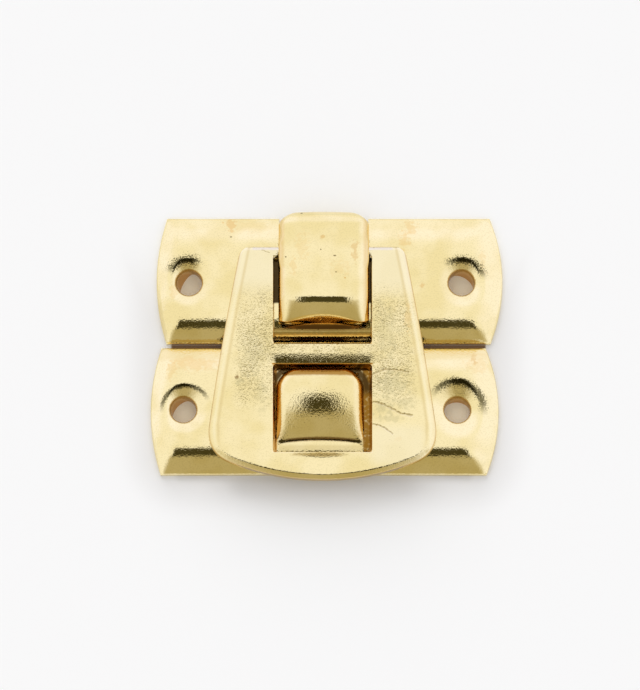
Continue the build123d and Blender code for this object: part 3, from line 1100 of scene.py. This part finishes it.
def make_camera():
    """The photograph is 640 by 690, seen a little off the upright through a long lens."""
    aim = Vector((-0.477, -5.595, 0.0)) * MM
    tilt = radians(90 - CAMERA_LEAN)
    data = bpy.data.cameras.new("camera")
    data.sensor_width = SENSOR
    data.lens = PIXELS_PER_MM * CAMERA_DISTANCE / PICTURE_HEIGHT * SENSOR
    data.clip_start = 0.01
    camera = bpy.data.objects.new("camera", data)
    bpy.context.scene.collection.objects.link(camera)
    back = Vector((0, -cos(tilt), sin(tilt)))
    camera.location = aim + back * CAMERA_DISTANCE * MM
    camera.rotation_euler = back.to_track_quat("Z", "Y").to_euler()
    bpy.context.scene.camera = camera


def at(x_px, y_px, z):
    """Place on the object, from a place in the photograph and its height."""
    up = MIDDLE_PX[1] - LIFT_PX * z - y_px
    return (x_px - MIDDLE_PX[0]) / ACROSS_PX, up / DOWN_PX


def marks(z, *items):
    """Spots at a height, given by their places in the photograph."""
    return [(*at(x, y, z), *rest) for x, y, *rest in items]


def line(*points):
    """Line on the hasp's face, given by its places in the photograph."""
    return [at(x, y, HASP_TOP) for x, y in points]


# Spots: place in the photograph, half sizes, raggedness, strength and tint
plate_spots = marks(
    1.5,
    (231, 223, 0.7, 0.9, 0.5, 0.70, (0.82, 0.56, 0.22)),
    (411, 226, 0.7, 0.9, 0.5, 0.50, WARM),
    (405, 241, 0.6, 1.1, 0.5, 0.50, WARM),
    (462, 352.5, 2.6, 0.22, 0.4, 0.40, WARM),
    (172, 368, 0.5, 1.2, 0.6, 0.40, WARM),
    (195, 363, 2.9, 0.9, 0.3, 0.50, WARM),
    (478, 364, 1.6, 0.9, 0.4, 0.30, WARM),
    (483, 262, 0.4, 1.4, 0.6, 0.30, WARM),
    (230.5, 236.5, 0.14, 0.10, 0.1, 0.8, DARK),
    (173, 290, 0.5, 0.7, 0.6, 0.35, WARM),
    (422, 285, 0.28, 0.30, 0.3, 0.45, RUST),
    (474, 358, 0.3, 0.7, 0.6, 0.45, RUST),
    (186, 358, 1.6, 0.5, 0.5, 0.30, WARM),
    (250, 225, 3.0, 0.9, 0.4, 0.15, WARM),
) + marks(
    3.5,
    (285.8, 256.5, 0.10, 0.09, 0.1, 0.9, DARK),
    (320.8, 249.8, 0.09, 0.10, 0.1, 0.9, DARK),
    (334.6, 256.0, 0.20, 0.08, 0.2, 0.8, DARK),
    (336.0, 272.3, 0.12, 0.08, 0.1, 0.9, DARK),
    (345.0, 278.0, 0.12, 0.10, 0.1, 0.8, RUST),
    (301.6, 212.0, 0.16, 0.12, 0.1, 0.8, DARK),
    (355.0, 250.0, 0.35, 1.1, 0.6, 0.40, RUST),
    (293.0, 266.0, 0.4, 0.9, 0.6, 0.35, WARM),
    (323.0, 237.0, 0.3, 0.2, 0.4, 0.5, RUST),
    (302.0, 246.0, 0.8, 1.5, 0.5, 0.25, WARM),
    (340.0, 268.0, 1.0, 0.9, 0.6, 0.22, WARM),
)
# painted shade under the tongue's nose, and a painted golden-brown reflection of the window wall on
# the nose
plate_spots += marks(1.75, (321.0, 327.0, 5.4, 0.34, 0.02, 0.93, (0.12, 0.055, 0.014)))
plate_spots += marks(2.25, (321.0, 321.2, 3.8, 0.46, 0.03, 0.85, (0.72, 0.42, 0.09)))
hasp_spots = marks(
    HASP_TOP,
    (238, 376, 0.26, 0.30, 0.4, 0.85, (0.30, 0.18, 0.06)),
    (408, 318, 0.35, 1.4, 0.7, 0.45, WARM),
    (320, 453.2, 3.1, 0.30, 0.12, 0.85, (0.50, 0.34, 0.10)),
    (398, 437, 0.35, 0.25, 0.5, 0.4, WARM),
    (392, 384, 1.7, 1.5, 0.5, 0.45, OLIVE),
    (383, 408, 1.0, 0.8, 0.5, 0.50, OLIVE),
    (403, 402, 1.3, 0.6, 0.5, 0.40, OLIVE),
    (389, 418, 1.6, 0.35, 0.4, 0.40, OLIVE),
    (253, 352, 1.3, 2.6, 0.6, 0.30, OLIVE),
    (262, 392, 0.8, 2.0, 0.6, 0.28, OLIVE),
    (386, 330, 1.1, 3.2, 0.6, 0.32, OLIVE),
    (240, 381, 0.35, 0.5, 0.5, 0.5, OLIVE),
)
# Creases: points, width and depth
hasp_creases_and_edge_reflections = [
    (line((371.8, 401), (381.5, 403), (391, 407.7), (399.7, 412.6), (411.8, 415)), 0.13, 0.035),
    (line((371.8, 423.5), (376.7, 424), (386.4, 428.3), (392, 433)), 0.11, 0.028),
    (line((372.5, 374), (385, 369), (400, 370), (408, 372)), 0.13, 0.02),
    # the next three are painted dark reflection lines along the rounded top edge, with a faint
    # groove
    (line((247, 246.5), (262, 245.8), (277, 246.5)), 0.07, 0.004),
    (line((262, 250.2), (270, 252.5)), 0.07, 0.004),
    (line((373, 247), (388, 245.8), (401, 246.8)), 0.07, 0.004),
]
# Patches: middle, half size, fade, raggedness, strength and tint; those on the plates are all
# painted shade and reflections
plate_painted_light_patches = [
    # painted shade in the gaps beside the tongue
    ((-4.55, 0.1, 1.6), (0.35, 2.0, 0.5), 0.2, 0.1, 0.985, TONGUE_GAP_SHADE),
    ((4.35, 0.1, 1.6), (0.3, 2.0, 0.5), 0.2, 0.1, 0.985, TONGUE_GAP_SHADE),
    # painted shade in the gaps beside and above the keeper
    ((-4.62, -12.0, 1.6), (0.16, 3.9, 0.25), 0.15, 0.1, 0.97, (0.50, 0.24, 0.03)),
    ((3.80, -12.0, 1.6), (0.30, 3.9, 0.25), 0.15, 0.3, 0.97, (0.27, 0.12, 0.006)),
    ((-0.4, -8.1, 1.6), (4.4, 0.12, 0.3), 0.15, 0.1, 0.97, KEEPER_GAP_SHADE),
    # painted dark reflection of the window wall along the keeper's top swell
    ((-0.48, -8.70, 2.4), (3.3, 0.26, 0.7), 0.25, 0.1, 0.95, (0.42, 0.215, 0.035)),
    # painted gold reflections on the shoulders of the keeper and the tongue
    *(((x, -12.6, 2.3), (0.10, 2.6, 0.6), 0.35, 0.1, 0.5, REFLECTED_GOLD) for x in (-4.22, 3.26)),
    *(((x, 1.5, 3.0), (0.12, 5.2, 0.8), 0.35, 0.1, 0.6, REFLECTED_GOLD) for x in (-4.08, 3.82)),
    # painted shade under the tongue's nose, and painted golden reflections on the plate's bevel in
    # the window below it
    ((-0.13, -4.36, 1.72), (4.2, 0.24, 0.22), 0.14, 0.1, 0.9, (0.13, 0.06, 0.015)),
    ((-0.25, -4.76, 0.9), (4.4, 0.09, 0.25), 0.12, 0.1, 0.85, (0.43, 0.29, 0.08)),
    ((-0.25, -4.40, 1.1), (4.4, 0.07, 0.25), 0.12, 0.1, 0.8, (0.60, 0.42, 0.17)),
    # painted warm reflections on the lower plate's rear bevel along the seam and on the plate below
    # the keeper's foot
    ((0.0, -6.5, 1.0), (16.0, 0.45, 0.7), 0.5, 0.2, 0.5, (0.86, 0.68, 0.33)),
    ((-0.4, -15.7, 1.7), (3.7, 0.25, 0.3), 0.3, 0.1, 0.45, (0.62, 0.48, 0.2)),
]
hasp_patches = [
    # painted orange-brown reflections on the walls of the lower and upper windows
    ((-0.25, -12.03, 1.9), (4.55, 4.15, 0.55), 0.1, 0.1, 0.9, (0.62, 0.35, 0.07)),
    ((-0.25, -1.95, 1.9), (4.55, 4.15, 0.55), 0.1, 0.1, 0.8, (0.76, 0.50, 0.15)),
    ((0.0, 2.4, 2.6), (8.0, 2.2, 1.0), 2.6, 0.5, 0.7, (0.94, 0.84, 0.575)),
    ((6.6, -15.6, 2.6), (1.8, 1.2, 1.0), 1.2, 0.3, 0.6, (0.945, 0.84, 0.56)),
    ((-0.25, 2.98, 2.5), (6.3, 0.12, 0.4), 0.2, 0.25, 0.65, (0.78, 0.70, 0.62)),
]
# Edge lines, painted reflections with a painted highlight as the middle one: start, peak and end
# inside the edge, strength at sides and foot, tint
hasp_edge_reflections = [
    (0.58, 0.80, 1.05, 0.45, 0.0, (0.70, 0.54, 0.24)),
    (0.20, 0.45, 0.72, 0.55, 0.0, (0.975, 0.87, 0.56)),
    (-0.3, 0.0, 0.20, 0.8, 0.8, (0.64, 0.43, 0.15)),
]
holes = [(-12.5, 0.0), (12.5, 0.0), (-12.95, -11.905), (12.05, -11.905)]
keeper_ends = ((-2.56, 135), (1.6, 45))
# Arcs, all painted shade, reflections and highlights: middle, radius, width, facing, span,
# raggedness, strength and tint
plate_painted_light_arcs = [
    # painted dark reflections round the upper screw dimples
    (-12.55, 0.0, 2.1, 0.50, 106, 46, 1.2, 0.85, DIMPLE_DARK_REFLECTION),
    (12.5, 0.0, 2.14, 0.42, 72, 60, 1.1, 0.86, DIMPLE_DARK_REFLECTION),
    # painted gold reflection on the keeper's top corners, and painted shade in the gap round them
    *((x, -10.13, 1.66, 0.34, aim, 60, 0.1, 0.7, REFLECTED_GOLD) for x, aim in keeper_ends),
    *((x, -10.13, 2.2, 0.46, aim, 62, 0.1, 0.97, KEEPER_CORNER_SHADE) for x, aim in keeper_ends),
    # painted dark reflections round the lower screw dimples
    (-12.72, -11.9, 2.18, 0.27, 104, 80, 0.7, 0.86, DIMPLE_DARK_REFLECTION),
    (11.95, -11.78, 2.46, 0.46, 70, 82, 0.8, 0.86, DIMPLE_DARK_REFLECTION),
    # painted shade line along the keeper's foot, and a painted highlight line across the tongue's
    # nose
    (-0.4, -41.72, 27.0, 0.26, 90, 8.3, 0.15, 0.9, (0.20, 0.095, 0.022)),
    (-0.31, -12.62, 9.2, 0.15, 90, 20, 0.05, 0.9, (1.0, 0.72, 0.24)),
]
# painted reflection and shade on the walls and rims of the screw holes
plate_painted_light_arcs += [(x, y, 0.78, 0.56, 90, 999, 0.0, 0.9, (0.60, 0.34, 0.14)) for x, y in holes]
plate_painted_light_arcs += [(x, y, 1.21, 0.15, 90, 999, 0.25, 0.9, (0.46, 0.26, 0.05)) for x, y in holes]
# Boxes of stronger or weaker grain: middle, half size and share
plate_rises = [
    ((-0.13, 1.0, 2.9), (4.3, 5.8, 0.9), 0.35),
    ((-0.48, -11.8, 2.9), (4.1, 3.6, 1.0), 1.3),
]
plate_metal = brass(
    "plate_brass",
    0.0115,
    (0.34, 0.145),
    rises=plate_rises,
    spots=plate_spots,
    patches=plate_painted_light_patches,
    arcs=plate_painted_light_arcs,
)
hasp_metal = brass(
    "hasp_brass",
    0.011,
    (0.30, 0.14),
    zone=(-11.5, -1.0, 3.2),
    stretch=(1.0, 1.35, 1.0),
    rises=[((-0.25, -7.6, 2.5), (4.4, 0.35, 0.3), 0.55)],
    spots=hasp_spots,
    patches=hasp_patches,
    creases=hasp_creases_and_edge_reflections,
    edges=hasp_edge_reflections,
)

upper = make_upper()
lower = make_lower()
hasp = make_hasp()
for piece, node, body, slot, metal in (
    (upper, "upper_plate", "lid_plate", "plate_brass", plate_metal),
    (lower, "lower_plate", "box_plate", "plate_brass", plate_metal),
    (hasp, "hasp", "swing", "hasp_brass", hasp_metal),
):
    piece.data.materials.clear()
    piece.data.materials.append(metal)
    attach(piece, body)
    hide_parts(node)

make_world()
make_sun()
make_floor()
make_camera()
bpy.context.scene.view_settings.view_transform = "Standard"
